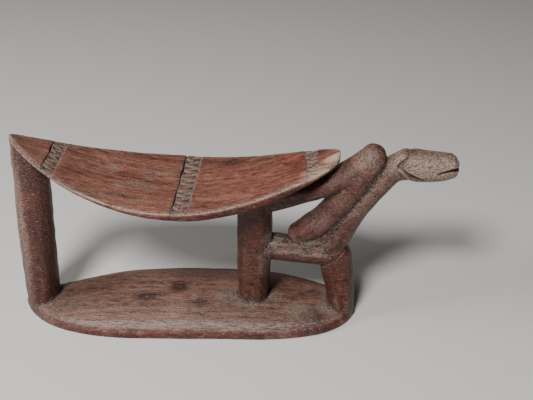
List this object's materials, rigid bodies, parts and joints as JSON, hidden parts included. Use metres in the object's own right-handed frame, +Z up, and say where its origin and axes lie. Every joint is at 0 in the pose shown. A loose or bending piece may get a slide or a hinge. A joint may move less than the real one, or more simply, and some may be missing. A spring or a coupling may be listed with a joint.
{
  "type": "carved wooden headrest",
  "caption": "Low headrest carved from one piece of dark hardwood: a curved pillow on a post and a leg over an oval base, with an animal's bent leg, neck and head at one end.",
  "frame": {"origin": "middle of the base's flat underside, where the headrest stands", "axes": "+Z up; +X along the headrest, from the post end towards the animal's head; +Y across it, towards the side that the picture hides"},
  "size_m": [0.3883, 0.1044, 0.1785],
  "materials": {
    "carved_wood": "hand-carved dark hardwood with a worn satin patina, redder on the pillow and greyer on the limbs"
  },
  "bodies": {
    "root": {"headrest": "carved_wood"}
  },
  "joints": []
}
